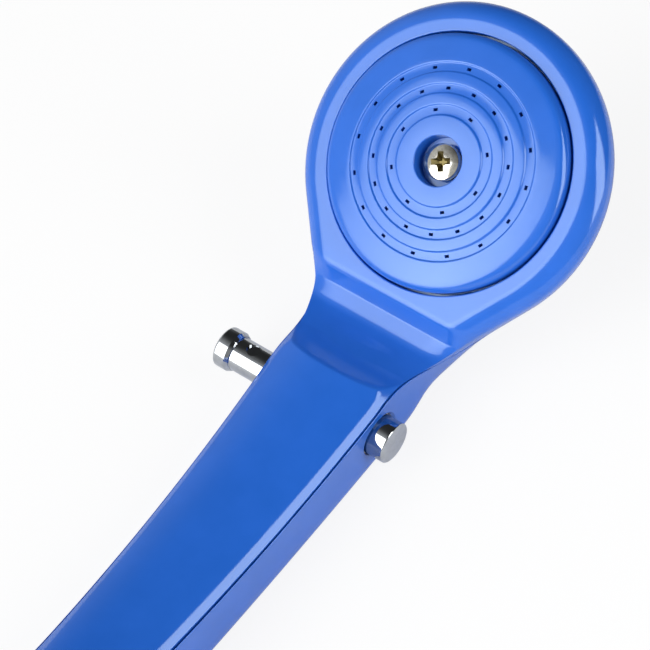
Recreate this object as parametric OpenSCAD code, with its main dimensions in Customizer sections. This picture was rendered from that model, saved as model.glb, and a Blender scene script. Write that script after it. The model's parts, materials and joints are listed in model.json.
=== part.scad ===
// Handheld bath sprayer: round spray head, thumb hollow in the neck, curved handle,
// push-pull valve pin through the handle and a male G1/2 hose inlet at its end.
//
// Working frame: the head's flat rim lies in z = 0, +Z is the way the water leaves,
// +Y points to the tip of the head and X runs along the valve pin.
// at_rest() then lays the sprayer on its back on the plane z = 0.

/* [Head] */
// Radius of the round head
head_r = 35.9; // [34:0.1:38]
// Height of the head's widest line below the flat rim
head_waist = 4.3; // [3.5:0.1:5.5]
// Width of the rounding between the flat rim and the widest line
rim_round = 4.7; // [3.5:0.1:5.5]
// Depth of the domed back below the widest line
dome_depth = 13.5; // [12.5:0.1:15]
// Fullness of the domed back: 2 is an ellipse, more is fuller
dome_power = 2.2; // [2:0.1:2.6]
// Wall thickness of the two housings
wall = 2.2; // [1.8:0.1:2.5]

/* [Neck and handle] */
// Angle between the neck's straight flanks and the handle
neck_angle = 34.6; // [30:0.1:38]
// Place along Y where the neck's straight flank ends
neck_end = -35.8; // [-38:0.1:-34]
// Radius of the hollow corner between neck and handle
neck_corner_r = 25; // [20:1:30]
// Sideways taper of the handle, each side
taper_angle = 2.5; // [1.5:0.1:3.5]
// Height of the handle's front where its curve starts
front_start_z = 17.5; // [16.5:0.1:18.5]
// Slope of the handle's front where its curve starts
front_slope = 29.2; // [28:0.1:30]
// Radius of the handle's long front curve
front_curve_r = 292; // [270:1:320]
// Radius of the knee under the neck
knee_r = 53; // [48:1:58]
// Radius of the handle's long back curve
back_curve_r = 836; // [700:1:1000]
// Width of the rounding along the handle's front edges
handle_round = 5; // [4:0.1:6]
// Squareness of the handle's back corners
handle_power = 6; // [4:0.5:8]
// Distance from the valve pin to the flat end of the handle
handle_l = 95; // [92:0.5:97]

/* [Thumb hollow] */
// Place along Y of the straight edge of the rim
hollow_start = -31.3; // [-32:0.1:-31]
// Depth of the hollow's floor below the rim
hollow_depth = 3; // [2:0.1:3.5]
// Length of the steep step from rim to floor
hollow_step = 3.9; // [3:0.1:4.5]
// Length of the flat floor
hollow_floor = 4.2; // [3.5:0.1:5]
// Radius of the scooped rise to the handle
scoop_r = 24.2; // [23:0.1:26]
// Slope at which the scooped rise starts
scoop_slope = 32; // [28:1:34]
// Rounding at the two ends of the hollow
hollow_round = 1.8; // [1:0.1:2.5]

/* [Spray plate] */
// Radius of the spray plate
plate_r = 28.3; // [28:0.1:28.5]
// Height of the dome's middle above the rim
plate_top = 5.27; // [4.8:0.01:5.6]
// Radius of the plate's dome
plate_dome_r = 129; // [110:1:150]
// Thickness of the plate
plate_t = 2.2; // [1.8:0.1:2.5]
// Depth of the sunk ring bands that carry the jets
band_depth = 0.25; // [0.1:0.05:0.4]
// Width of one jet, around the plate
jet_w = 1.0; // [0.8:0.05:1.1]
// Length of one jet, out from the middle
jet_l = 0.65; // [0.5:0.05:0.8]
// Radius of the sunk centre
recess_r = 5.55; // [5:0.05:6]

/* [Valve] */
// Radius of the pin's stem
pin_r = 4; // [3.9:0.05:4.1]
// Radius of the pin's head and of the button
knob_r = 4.8; // [4.7:0.05:4.85]
// Thickness of the pin's head and of the button
knob_t = 4.4; // [4:0.1:4.8]
// Travel of the pin
travel = 11.2; // [11:0.1:11.3]
// Radius of the holes that the pin passes in the handle's sides
pocket_r = 5.1; // [5.05:0.05:5.3]
// Radial running clearance of the pin
pin_clearance = 0.05; // [0.03:0.01:0.08]

/* [Hose inlet] */
// Radius of the G1/2 male thread over its crests
thread_r = 10.478; // [10.3:0.001:10.5]
// Length of the thread
thread_l = 12; // [10:0.5:14]

/* [Resting place] */
// Angle by which the head's tip stands up when the sprayer lies on its back
rest_tilt = 33.7; // [32.5:0.1:35.5]

/* [Hidden] */
$fn = 64;
blue = "#2C6BDC";
chrome_grey = "#B9BEC3";
nickel = "#C9C6BC";
brass = "#C8A24A";
acetal = "#E9E7DF";
rubber = "#26272A";
eps = 0.01;

// Outline: the flank leaves the head's circle along a tangent, turns through the neck
// corner and runs into the tapered handle.
tangent_y = -head_r * sin(neck_angle);
tangent_x = head_r * cos(neck_angle);
corner_x = tangent_x - (tangent_y - neck_end) * tan(neck_angle);
corner_end = neck_end - neck_corner_r * (sin(neck_angle) - sin(taper_angle));
handle_x = corner_x - neck_corner_r * (cos(taper_angle) - cos(neck_angle));
end_flare = 1.6;
flare_y = -121;
flare_l = 14;

// Side view: places where the front's and the back's curves change.
front_curve_y = -62;
front_edge_drop = 5.4;
waist_mix_start = -36;
waist_mix_l = 16;
knee_y = -31;
knee_end_slope = 31.3;
knee_l = knee_r * sin(knee_end_slope);
back_z0 = -head_waist - dome_depth;
floor_y = hollow_start - hollow_step;
scoop_y = floor_y - hollow_floor;
scoop_lift = 0.3;

// The two housings meet just below the handle's front edge and, on the head, well
// under its widest line.
seam_drop_head = 3.5;
seam_drop_handle = 0.5;
cap_angle = 84;
cavity_end = -122;
cavity_ease_from = -100;
cavity_ease_l = 20;
stations_end = -150;

// Valve axis and the direction of the handle's waterway.
valve_y = -58.7;
valve_z = 2.63;
way_angle = 36;
barrel_r = 7.5;
barrel_half = 13.2;
seal_r = 0.75;
seal_at = 11;
seal_groove_r = 5.55;
seal_groove_half = 0.8;
gland_r = 6.3;
gland_in = 11.8;
gland_out = 13.1;
port_r = 2.4;
port_x = 3.9;
waist_r = 2.5;
waist_from = -10;
waist_to = -1.6;
shoulder_x = -barrel_half - travel;
stem_hole_at = 4.1;
stem_hole_turn = 48.4;
stem_hole_r = 1.7;
stem_hole_floor = 3.45;
stud_r = 2;
pocket_edge = 0.35;

// Waterway tubes.
tube_r = 5;
tube_bore = 3.6;
tube_head_r = 6.35;
tube_head_l = 4;
tube_from = 8.6;
tube_to = 86;
socket_r = 6.4;
lower_arm_r = 7.6;
lower_arm_l = 12.5;
neck_tube_r = 3.8;
neck_tube_bore = 2.2;
neck_seal_r = 0.55;
neck_tube_from = 5.6;
upper_arm_r = 5;
upper_arm_l = 10.2;
neck_tube_z = -10.1;
knuckle_extra = 0.4;
bend_l = (valve_z - neck_tube_z) / sin(way_angle);
bend_y = valve_y + bend_l * cos(way_angle);
elbow_y = -17;
elbow_shoulder_y = -31.2;
elbow_end_y = -35.2;
elbow_leg_r = 3.5;
elbow_socket_r = 4.6;
spigot_r = 3;

// Nipple.
flange_r = 12;
flange_t = 3;
nipple_from = 79;
nipple_r = 8.4;
collar_r = 9.2;
collar_from = 84;
collar_t = 3;
mouth_r = 7.5;
fit_gap = 0.05;

// Spray chamber.
bore_r = 28.7;
cup_r = 30.7;
chamber_floor = -4.5;
cup_bottom = -6.5;
post_r = 4.6;
post_bottom = -12.5;
post_top = -1.6;
insert_r = 2.75;
insert_l = 7.9;
screw_hole_bottom = -11.6;
recess_floor = 0.4;
screw_seat = 1.3;
skirt_bottom = -2.9;
skirt_w = 2.1;
bands = [[9.8, 12.4], [14.6, 17], [19.3, 21.7]];
band_slant = 0.15;
plate_edge_r = 1.3;
centre_edge = 0.15;
centre_wall = 2.2;
screw_hole_r = 2.15;
seal_ring_r = 27.2;
bore_edge = 0.3;
jet_rings = [[11.15, 8, 110.38], [15.8, 16, 121.67], [20.5, 16, 121.67]];

// ---------------------------------------------------------------- curves

function mix(a, b, s) = a + (b - a) * s;
function ease(s) = let (c = max(0, min(1, s))) c * c * (3 - 2 * c);

// Rise of an arc of radius r that starts at slope a0, after a run d.
function arc_rise(d, a0, r) = r * (cos(a0) - cos(asin(sin(a0) + d / r)));

// Angle between the outline and the Y axis.
function outline_angle(y) =
    y > tangent_y ? asin(-y / head_r)
    : y > neck_end ? neck_angle
    : y > corner_end ? asin(sin(neck_angle) - (neck_end - y) / neck_corner_r)
    : taper_angle;

// Half width of the sprayer at y.
function half_width(y) =
    y > tangent_y ? sqrt(head_r * head_r - y * y)
    : y > neck_end ? tangent_x - (tangent_y - y) * tan(neck_angle)
    : y > corner_end ? corner_x - neck_corner_r * (cos(outline_angle(y)) - cos(neck_angle))
    : handle_x - (corner_end - y) * tan(taper_angle)
        + end_flare * ease((flare_y - y) / flare_l);

// Front of the handle, and the thumb hollow sunk into it.
function handle_front(y) = front_start_z + arc_rise(front_curve_y - y, front_slope, front_curve_r);
function hollow(y) =
    y > floor_y ? -hollow_depth * (hollow_start - y) / hollow_step
    : y > scoop_y ? -hollow_depth + scoop_lift * (floor_y - y) / hollow_floor
    : -hollow_depth + scoop_lift + arc_rise(scoop_y - y, scoop_slope, scoop_r);
function in_hollow(y) = y < hollow_start && hollow(y) < handle_front(y);
function body_top(y) = y < hollow_start ? handle_front(y) : 0;
function top_z(y) = in_hollow(y) ? hollow(y) : body_top(y);
function top_slope(y) = (top_z(y - 1) - top_z(min(y + 1, 0))) / 2;

// Widest line of head and neck, and bottom of the handle's rounded front edge.
function waist_z(y) =
    mix(-head_waist, handle_front(y) - front_edge_drop, ease((waist_mix_start - y) / waist_mix_l));

// Back of the head and handle in the middle plane.
function back_z(y) =
    y > knee_y ? back_z0
    : y > knee_y - knee_l ? back_z0 + arc_rise(knee_y - y, 0, knee_r)
    : back_z0 + arc_rise(knee_l, 0, knee_r)
        + arc_rise(knee_y - knee_l - y, knee_end_slope, back_curve_r);
function back_slope(y) = (back_z(y - 1) - back_z(y + 1)) / 2;
function steep(slope) = sqrt(1 + slope * slope);

// How far the section has turned from head to handle.
function handleness(y) = ease((-20 - y) / 30);
function power(y) = mix(dome_power, handle_power, handleness(y));
function seam_drop(y) = mix(seam_drop_head, seam_drop_handle, ease((-30 - y) / 18));
function body_round(y) = mix(rim_round, handle_round, handleness(y));
function hollow_end_round(y) = mix(body_round(y), hollow_round, ease((hollow_start - y) / 5.5));

// Quarter-ellipse edge: height at a distance in from the outline.
function edge_z(top, bottom, width, inset) =
    let (s = max(0, 1 - inset / width))
    bottom + (top - bottom) * sqrt(max(0, 1 - s * s));

// ---------------------------------------------------------------- stations

// A station is [bearing, y]: round the front half of the head the bearing turns about
// the middle, and from there on y runs down to the end of the handle.
stations = concat(
    [for (a = [90:-5:5]) [a, 0]],
    [for (y = [0:-3:-30]) [0, y]],
    [for (s = [0:3]) [0, hollow_start - s / 3 * hollow_step]],
    [for (s = [1:3]) [0, floor_y - s / 3 * hollow_floor]],
    [for (s = [1:9]) [0, scoop_y - s * scoop_r * 0.05]],
    [for (y = [-52:-2:-62]) [0, y]],
    [for (s = [1:14]) [0, -62 + s * (stations_end + 62) / 14]]);
side = len(stations);
loop = 2 * side - 1;

function spot(st, r, z) = [r * cos(st[0]), r * sin(st[0]) + st[1], z];
function reach(st, t) = half_width(st[1]) - t / cos(outline_angle(st[1]));

// Front surface at an inset angle u: 0 where the flat starts, 90 at the widest line.
function front_spot(st, u, t) =
    let (
        y = st[1],
        width = body_round(y) - t / 2,
        inset = width * (1 - sin(u)),
        low = waist_z(y),
        drop = t * steep(top_slope(y)),
        body = edge_z(body_top(y) - drop, low, width, inset),
        cut = edge_z(hollow(y) - drop, low, hollow_end_round(y) - t / 4, inset),
        z = y < hollow_start ? min(body, cut) : body)
    spot(st, reach(st, t + inset), z);

// Back surface at a fraction s of the way from the seam to the middle.
function back_spot(st, s, t) =
    let (
        y = st[1],
        n = power(y),
        depth = waist_z(y) - back_z(y) - t * steep(back_slope(y)),
        seam_angle = asin(pow(seam_drop(y) / depth, n / 2)),
        v = mix(seam_angle, cap_angle, s))
    spot(st, reach(st, t) * pow(cos(v), 2 / n), waist_z(y) - depth * pow(sin(v), 2 / n));

// Inside a housing the stations stop short of the handle's end.
function inner(st) =
    let (share = ease((cavity_ease_from - st[1]) / cavity_ease_l))
    [st[0], max(st[1], mix(st[1], cavity_end, share))];

// Closed ring of points: down the right side, then back up the mirrored left side.
function ring(points) =
    concat(points, [for (i = [side - 1:-1:1]) [-points[i][0], points[i][1], points[i][2]]]);
function front_ring(u, t) = ring([for (st = stations) front_spot(t > 0 ? inner(st) : st, u, t)]);
function back_ring(s, t) = ring([for (st = stations) back_spot(t > 0 ? inner(st) : st, s, t)]);

// Solid bounded by rings of equal length; the first and last ring are closed by strips.
module ring_solid(rings) {
    last = (len(rings) - 1) * loop;
    polyhedron(
        points = [for (r = rings) each r],
        faces = concat(
            [for (k = [0:len(rings) - 2], i = [0:loop - 1])
                let (a = k * loop + i, b = k * loop + (i + 1) % loop) each
                [[a, a + loop, b + loop], [a, b + loop, b]]],
            [for (i = [0:side - 2])
                let (l = loop - i - 1) each
                [[i, i + 1, l], [last + i, last + l, last + i + 1]]],
            [for (i = [1:side - 2])
                let (l = loop - i - 1) each
                [[i, l, l + 1], [last + i, last + l + 1, last + l]]]),
        convexity = 8);
}

// ---------------------------------------------------------------- placing

// Turned about X by the resting angle: where a point of the middle plane comes to lie.
function turned_y(y, z) = y * cos(rest_tilt) - z * sin(rest_tilt);
function turned_z(y, z) = y * sin(rest_tilt) + z * cos(rest_tilt);

// The sprayer lies on the handle's long back curve, with its origin under its middle.
module at_rest() {
    curve_y = knee_y - knee_l + back_curve_r * sin(knee_end_slope);
    curve_z = back_z(knee_y - knee_l) + back_curve_r * cos(knee_end_slope);
    tip_y = max([for (s = [0:0.05:1])
        let (p = back_spot(stations[0], s, 0)) turned_y(p[1], p[2])]);
    inlet_l = handle_l + flange_t + thread_l;
    end_y = turned_y(valve_y, valve_z) - inlet_l * cos(way_angle - rest_tilt)
        - (thread_r - 1) * sin(way_angle - rest_tilt);
    translate([0, -(tip_y + end_y) / 2, back_curve_r - turned_z(curve_y, curve_z)])
        rotate([rest_tilt, 0, 0])
            children();
}

// Puts +Z along the waterway, from the valve towards the hose.
module to_hose() {
    translate([0, valve_y, valve_z])
        rotate([90 - way_angle, 0, 0])
            children();
}

// Puts +Z along the waterway, from the valve towards the head.
module to_head() {
    translate([port_x, valve_y, valve_z])
        rotate([-90 - way_angle, 0, 0])
            children();
}

// Puts +Z along the valve pin, towards +X.
module along_pin() {
    translate([0, valve_y, valve_z])
        rotate([0, 90, 0])
            children();
}

module ring_seal(radius, r) {
    rotate_extrude()
        translate([radius, 0])
            circle(r = r, $fn = 24);
}

// Round bar along Z; taken away from a piece it is a bore.
module bar(radius, from, to) {
    translate([0, 0, from])
        cylinder(r = radius, h = to - from);
}

// Everything beyond the flat end of the handle.
module beyond_end() {
    to_hose()
        translate([-30, -40, handle_l])
            cube([60, 80, 60]);
}

// Room that the nipple and its tube take inside the end of the handle.
module waterway_room() {
    to_hose() {
        bar(tube_r + 0.3, 30, nipple_from);
        bar(nipple_r + fit_gap, nipple_from - 1, handle_l + 5);
        bar(collar_r + fit_gap, collar_from - fit_gap, collar_from + collar_t + fit_gap);
    }
}

// ---------------------------------------------------------------- housings

module front_housing() {
    color(blue)
        difference() {
            union() {
                ring_solid(concat(
                    [for (u = [0:15:90]) front_ring(u, 0)],
                    [back_ring(0, 0), back_ring(0, wall)],
                    [for (u = [90:-30:0]) front_ring(u, wall)]));
                bar(cup_r, cup_bottom, -0.6);
                bar(post_r, post_bottom, cup_bottom + eps);
            }
            difference() {
                bar(bore_r, chamber_floor, 10);
                bar(post_r, chamber_floor - eps, post_top);
            }
            translate([0, 0, -bore_edge])
                cylinder(r1 = bore_r, r2 = bore_r + 2 * bore_edge, h = 2 * bore_edge);
            bar(insert_r + fit_gap, post_top - insert_l - 0.1, 0);
            bar(screw_hole_r + fit_gap, screw_hole_bottom, 0);
            translate([port_x, elbow_y, 0])
                bar(spigot_r + fit_gap, 2 * neck_tube_z, 0);
            along_pin()
                bar(barrel_r + fit_gap, -barrel_half, barrel_half);
            to_elbow()
                bar(elbow_socket_r + 0.1, elbow_end_y - 0.1 - bend_y,
                    elbow_shoulder_y + 1.1 - bend_y);
            beyond_end();
            waterway_room();
        }
}

module back_housing() {
    color(blue)
        difference() {
            ring_solid(concat(
                [for (s = [1:-0.2:0]) back_ring(s, wall)],
                [for (s = [0:0.1:1]) back_ring(s, 0)]));
            along_pin() {
                bar(pocket_r, -20, 20);
                bar(barrel_r + fit_gap, -barrel_half, barrel_half);
                for (end = [0, 1])
                    mirror([0, 0, end])
                        translate([0, 0, half_width(valve_y) - pocket_edge])
                            cylinder(r1 = pocket_r, r2 = pocket_r + 3 * pocket_edge,
                                h = 3 * pocket_edge);
            }
            translate([-barrel_half, valve_y - barrel_r - fit_gap, valve_z])
                cube([2 * barrel_half, 2 * (barrel_r + fit_gap), 20]);
            beyond_end();
            waterway_room();
        }
}

// ---------------------------------------------------------------- spray head

function dome_z(r) = plate_top - r * r / (2 * plate_dome_r);

module plate_profile() {
    rim_z = dome_z(plate_r - plate_edge_r);
    centre_r = recess_r + centre_wall;
    polygon(concat(
        [[screw_hole_r, post_top], [screw_hole_r, recess_floor], [recess_r, recess_floor],
            [recess_r, dome_z(recess_r) - centre_edge],
            [recess_r + centre_edge, dome_z(recess_r)]],
        [for (b = bands) each [
            [b[0], dome_z(b[0])],
            [b[0] + band_slant, dome_z(b[0]) - band_depth],
            [b[1] - band_slant, dome_z(b[1]) - band_depth],
            [b[1], dome_z(b[1])]]],
        [[(bands[2][1] + plate_r) / 2, dome_z((bands[2][1] + plate_r) / 2)]],
        [for (a = [90:-18:0])
            [plate_r - plate_edge_r * (1 - cos(a)), rim_z - plate_edge_r * (1 - sin(a))]],
        [[plate_r, skirt_bottom], [plate_r - skirt_w, skirt_bottom]],
        [for (r = [plate_r - skirt_w, 20, 13, centre_r]) [r, dome_z(r) - plate_t]],
        [[centre_r, post_top]]));
}

module spray_plate() {
    color(blue)
        difference() {
            rotate_extrude($fn = 96)
                plate_profile();
            for (jets = jet_rings, i = [0:jets[1] - 1])
                rotate([0, 0, jets[2] + i * 360 / jets[1]])
                    translate([jets[0] - jet_l / 2, -jet_w / 2, -1])
                        cube([jet_l, jet_w, 8]);
        }
}

module plate_seal() {
    color(rubber)
        translate([0, 0, (skirt_bottom + chamber_floor) / 2])
            rotate_extrude()
                translate([seal_ring_r, 0])
                    circle(r = (skirt_bottom - chamber_floor) / 2, $fn = 24);
}

module plate_screw() {
    head_r2 = 4;
    rim_h = 1.5;
    crown = 1;
    color(nickel)
        difference() {
            rotate_extrude()
                polygon(concat(
                    [[0, -10.6], [1.5, -10.6], [1.95, -10.1], [1.95, screw_seat],
                        [head_r2 - 0.2, screw_seat], [head_r2, screw_seat + 0.2]],
                    [for (a = [0:15:90])
                        [head_r2 * cos(a), screw_seat + rim_h + crown * sin(a)]]));
            for (turn = [0, 90])
                rotate([0, 0, turn])
                    translate([-2.3, -0.45, screw_seat + 1])
                        cube([4.6, 0.9, 4]);
            translate([0, 0, screw_seat + 0.7])
                cylinder(r1 = 0.6, r2 = 1.5, h = 2, $fn = 24);
        }
}

module screw_seal() {
    color(rubber)
        difference() {
            bar(3.9, recess_floor, screw_seat);
            bar(2, recess_floor - 1, screw_seat + 1);
        }
}

module screw_insert() {
    color(brass)
        difference() {
            bar(insert_r, post_top - insert_l, post_top - 0.1);
            bar(2, -20, 0);
        }
}

// ---------------------------------------------------------------- valve

module valve_body() {
    color(acetal)
        difference() {
            union() {
                along_pin()
                    bar(barrel_r, -barrel_half, barrel_half);
                to_hose()
                    bar(lower_arm_r, 0, lower_arm_l);
                to_head()
                    bar(upper_arm_r, 0, upper_arm_l);
            }
            along_pin() {
                bar(pin_r + pin_clearance, -20, 20);
                for (end = [0, 1])
                    mirror([0, 0, end]) {
                        bar(seal_groove_r, seal_at - seal_groove_half, 20);
                        bar(gland_r + 0.05, gland_in, 20);
                    }
            }
            to_hose() {
                bar(socket_r, tube_from - 0.1, 20);
                translate([port_x, 0, 0])
                    bar(port_r, 0, 20);
            }
            to_head() {
                bar(neck_tube_r + 0.05, neck_tube_from - 0.1, 20);
                bar(port_r, 0, 20);
            }
        }
}

module gland() {
    color(acetal)
        along_pin()
            difference() {
                bar(gland_r, gland_in, gland_out);
                bar(pin_r + pin_clearance, 0, 20);
            }
}

module left_gland() {
    mirror([1, 0, 0])
        gland();
}

module right_gland() {
    gland();
}

module pin_seal(x) {
    color(rubber)
        along_pin()
            translate([0, 0, x])
                ring_seal(pin_r + seal_r + 0.02, seal_r);
}

module left_pin_seal() {
    pin_seal(-seal_at);
}

module right_pin_seal() {
    pin_seal(seal_at);
}

module valve_pin() {
    color(chrome_grey)
        difference() {
            along_pin()
                rotate_extrude()
                    polygon(concat(
                        [[0, shoulder_x - knob_t]],
                        [for (a = [0:15:90])
                            [knob_r - 1.2 + 1.2 * sin(a), shoulder_x - knob_t + 0.7 * (1 - cos(a))]],
                        [[knob_r, shoulder_x - 0.9], [knob_r - 0.5, shoulder_x],
                            [pin_r, shoulder_x],
                            [pin_r, waist_from], [waist_r, waist_from + 1],
                            [waist_r, waist_to - 1], [pin_r, waist_to],
                            [pin_r, barrel_half - 0.3], [pin_r - 0.3, barrel_half],
                            [stud_r, barrel_half], [stud_r, barrel_half + 3],
                            [0, barrel_half + 3]]));
            translate([shoulder_x + stem_hole_at, valve_y, valve_z])
                rotate([-stem_hole_turn, 0, 0])
                    bar(stem_hole_r, stem_hole_floor, knob_r);
        }
}

module valve_button() {
    color(chrome_grey)
        along_pin()
            rotate_extrude()
                polygon([[stud_r + fit_gap, barrel_half], [knob_r - 0.2, barrel_half],
                    [knob_r, barrel_half + 0.2], [knob_r, barrel_half + knob_t - 0.4],
                    [knob_r - 0.4, barrel_half + knob_t], [0, barrel_half + knob_t],
                    [0, barrel_half + 3.1], [stud_r + fit_gap, barrel_half + 3.1]]);
}

// ---------------------------------------------------------------- waterway

// Groove round a tube for a ring seal of radius r whose outside is flush with the tube.
module seal_groove(tube, r, at) {
    difference() {
        bar(tube + 1, at - r - fit_gap, at + r + fit_gap);
        bar(tube - 2 * r, at - 2, at + 2);
    }
}

module lower_tube() {
    color(acetal)
        to_hose()
            difference() {
                union() {
                    bar(tube_r, tube_from, tube_to);
                    bar(tube_head_r, tube_from, tube_from + tube_head_l);
                    bar(tube_head_r, tube_to - tube_head_l, tube_to);
                }
                bar(tube_bore, 0, 100);
                for (at = [tube_from, tube_to - tube_head_l])
                    seal_groove(tube_head_r, seal_r, at + tube_head_l / 2);
            }
}

module lower_tube_seals() {
    color(rubber)
        to_hose()
            for (at = [tube_from, tube_to - tube_head_l])
                translate([0, 0, at + tube_head_l / 2])
                    ring_seal(tube_head_r + 0.03 - seal_r, seal_r);
}

// Puts +Z along the straight end of the neck tube, from the bend towards the elbow.
module to_elbow() {
    translate([port_x, bend_y, neck_tube_z])
        rotate([-90, 0, 0])
            children();
}

// Solid of the neck tube's path: two straight runs that meet in a round knuckle.
module neck_run(radius, from, to) {
    to_head()
        bar(radius, from, bend_l);
    translate([port_x, bend_y, neck_tube_z])
        sphere(r = radius + knuckle_extra);
    to_elbow()
        bar(radius, 0, to);
}

module upper_tube() {
    run = elbow_shoulder_y - 0.1 - bend_y;
    color(acetal)
        difference() {
            neck_run(neck_tube_r, neck_tube_from, run);
            neck_run(neck_tube_bore, 0, run + 1);
            to_head()
                seal_groove(neck_tube_r, neck_seal_r, neck_tube_from + 2);
            to_elbow()
                seal_groove(neck_tube_r, neck_seal_r, run - 2);
        }
}

module upper_tube_seals() {
    ring_r = neck_tube_r + 0.03 - neck_seal_r;
    color(rubber) {
        to_head()
            translate([0, 0, neck_tube_from + 2])
                ring_seal(ring_r, neck_seal_r);
        to_elbow()
            translate([0, 0, elbow_shoulder_y - 2.1 - bend_y])
                ring_seal(ring_r, neck_seal_r);
    }
}

module head_elbow() {
    color(acetal)
        translate([port_x, elbow_y, 0])
            difference() {
                union() {
                    bar(spigot_r, neck_tube_z, chamber_floor + 0.9);
                    translate([0, 0, neck_tube_z])
                        rotate([90, 0, 0]) {
                            bar(elbow_leg_r, -elbow_leg_r, elbow_y - elbow_shoulder_y);
                            bar(elbow_socket_r, elbow_y - elbow_shoulder_y - 1, elbow_y - elbow_end_y);
                        }
                }
                bar(neck_tube_bore, neck_tube_z, 0);
                translate([0, 0, neck_tube_z])
                    rotate([90, 0, 0]) {
                        bar(neck_tube_bore, 0, 30);
                        bar(neck_tube_r + fit_gap, elbow_y - elbow_shoulder_y, 30);
                    }
            }
}

module elbow_seal() {
    color(rubber)
        translate([port_x, elbow_y, chamber_floor])
            difference() {
                bar(elbow_socket_r, 0, 0.6);
                bar(spigot_r + fit_gap, -1, 1);
            }
}

module inlet_nipple() {
    thread_from = handle_l + flange_t;
    color(chrome_grey)
        to_hose()
            difference() {
                union() {
                    bar(nipple_r, nipple_from, handle_l);
                    bar(collar_r, collar_from, collar_from + collar_t);
                    bar(flange_r, handle_l, thread_from);
                    bar(thread_r - 1.1, thread_from, thread_from + 1.5);
                    bar(thread_r, thread_from + 1.5, thread_from + thread_l - 1);
                    translate([0, 0, thread_from + thread_l - 1])
                        cylinder(r1 = thread_r, r2 = thread_r - 1, h = 1);
                }
                bar(socket_r, nipple_from - 1, tube_to + 0.1);
                bar(tube_bore, nipple_from, thread_from);
                bar(mouth_r, thread_from - 1, thread_from + thread_l + 1);
            }
}

at_rest() front_housing();
at_rest() back_housing();
at_rest() spray_plate();
at_rest() plate_seal();
at_rest() plate_screw();
at_rest() screw_seal();
at_rest() screw_insert();
at_rest() valve_body();
at_rest() left_gland();
at_rest() right_gland();
at_rest() left_pin_seal();
at_rest() right_pin_seal();
at_rest() valve_pin();
at_rest() valve_button();
at_rest() lower_tube();
at_rest() lower_tube_seals();
at_rest() upper_tube();
at_rest() upper_tube_seals();
at_rest() head_elbow();
at_rest() elbow_seal();
at_rest() inlet_nipple();
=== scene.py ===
"""Looks of a handheld bath sprayer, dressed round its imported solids.

The two housings, the spray plate, its screw, the valve pin with its button and the hose
inlet are modelled here at full detail. The sealed inner pieces keep their own solids and
get their materials. All sizes are in millimetres in the sprayer's working frame: the
head's flat rim lies in z = 0, +Z is the way the water leaves, +Y points to the tip of the
head and X runs along the valve pin.
"""

from __future__ import annotations

import json
import logging
import math
from dataclasses import dataclass, field
from enum import Enum
from typing import Any, Callable, Iterable, Sequence

import bmesh
import bpy
from mathutils import Matrix, Vector

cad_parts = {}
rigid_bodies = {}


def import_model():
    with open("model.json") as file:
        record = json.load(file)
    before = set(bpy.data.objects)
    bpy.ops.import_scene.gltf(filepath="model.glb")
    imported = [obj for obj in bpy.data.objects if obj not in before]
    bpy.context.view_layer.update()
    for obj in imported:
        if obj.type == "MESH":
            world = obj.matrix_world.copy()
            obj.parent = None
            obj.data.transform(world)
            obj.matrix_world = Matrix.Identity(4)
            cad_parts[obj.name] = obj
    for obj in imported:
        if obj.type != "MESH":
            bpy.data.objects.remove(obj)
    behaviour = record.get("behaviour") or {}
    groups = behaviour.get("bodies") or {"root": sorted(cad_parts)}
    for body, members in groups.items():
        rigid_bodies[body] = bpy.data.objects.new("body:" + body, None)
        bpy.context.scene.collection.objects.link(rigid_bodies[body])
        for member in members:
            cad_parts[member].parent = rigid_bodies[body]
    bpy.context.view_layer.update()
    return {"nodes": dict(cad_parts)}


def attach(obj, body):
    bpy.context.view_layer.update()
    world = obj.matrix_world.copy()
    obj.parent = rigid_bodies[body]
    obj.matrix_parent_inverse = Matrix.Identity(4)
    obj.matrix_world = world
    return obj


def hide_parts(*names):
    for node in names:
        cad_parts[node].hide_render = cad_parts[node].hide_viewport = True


LOG = logging.getLogger("bath_sprayer")
MM = 0.001  # metres in a millimetre
WELD = 0.002  # millimetres within which points are welded
HAIR = 0.01  # millimetres that count as no distance
Point = tuple[float, float, float]
Corner = tuple[float, float, float]
Mesh = bmesh.types.BMesh
Thing = bpy.types.Object
Material = bpy.types.Material
Tree = bpy.types.NodeTree
Socket = bpy.types.NodeSocket


class Body(Enum):
    """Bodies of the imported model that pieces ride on."""

    SPRAYER = "sprayer"
    VALVE = "valve"


class Slot(Enum):
    """Material slots of the record."""

    BLUE_ABS = "blue_abs"
    CHROME = "chrome"
    NICKEL = "nickel_screw"
    BRASS = "brass"
    ACETAL = "acetal"
    RUBBER = "rubber"


# ------------------------------------------------------------------------- curves


def mix(a: float, b: float, share: float) -> float:
    """Returns the value a share of the way from a to b."""
    return a + (b - a) * share


def ease(share: float) -> float:
    """Returns share, held between 0 and 1 and smoothed at both ends."""
    held = max(0.0, min(1.0, share))
    return held * held * (3 - 2 * held)


def past(y: float, start: float, run: float) -> float:
    """Returns 0 up to a start, 1 from a run further down, and eases in between."""
    return ease((start - y) / run)


def soft_min(a: float, b: float, blend: float) -> float:
    """Returns the lower of two heights, rounded over a blend where they cross."""
    near = max(blend - abs(a - b), 0.0) / blend
    return min(a, b) - near * near * blend / 4


def soft_max(a: float, b: float, blend: float) -> float:
    """Returns the higher of two heights, rounded where they cross."""
    return -soft_min(-a, -b, blend)


def arc_rise(run: float, slope: float, radius: float) -> float:
    """Finds how far an arc rises over a run.

    Args:
        run: Length along the base.
        slope: Angle of the arc's start, in degrees.
        radius: Radius of the arc.

    Returns:
        The rise in millimetres.
    """
    start = math.radians(slope)
    sine = min(1.0, math.sin(start) + run / radius)
    return radius * (math.cos(start) - math.cos(math.asin(sine)))


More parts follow.
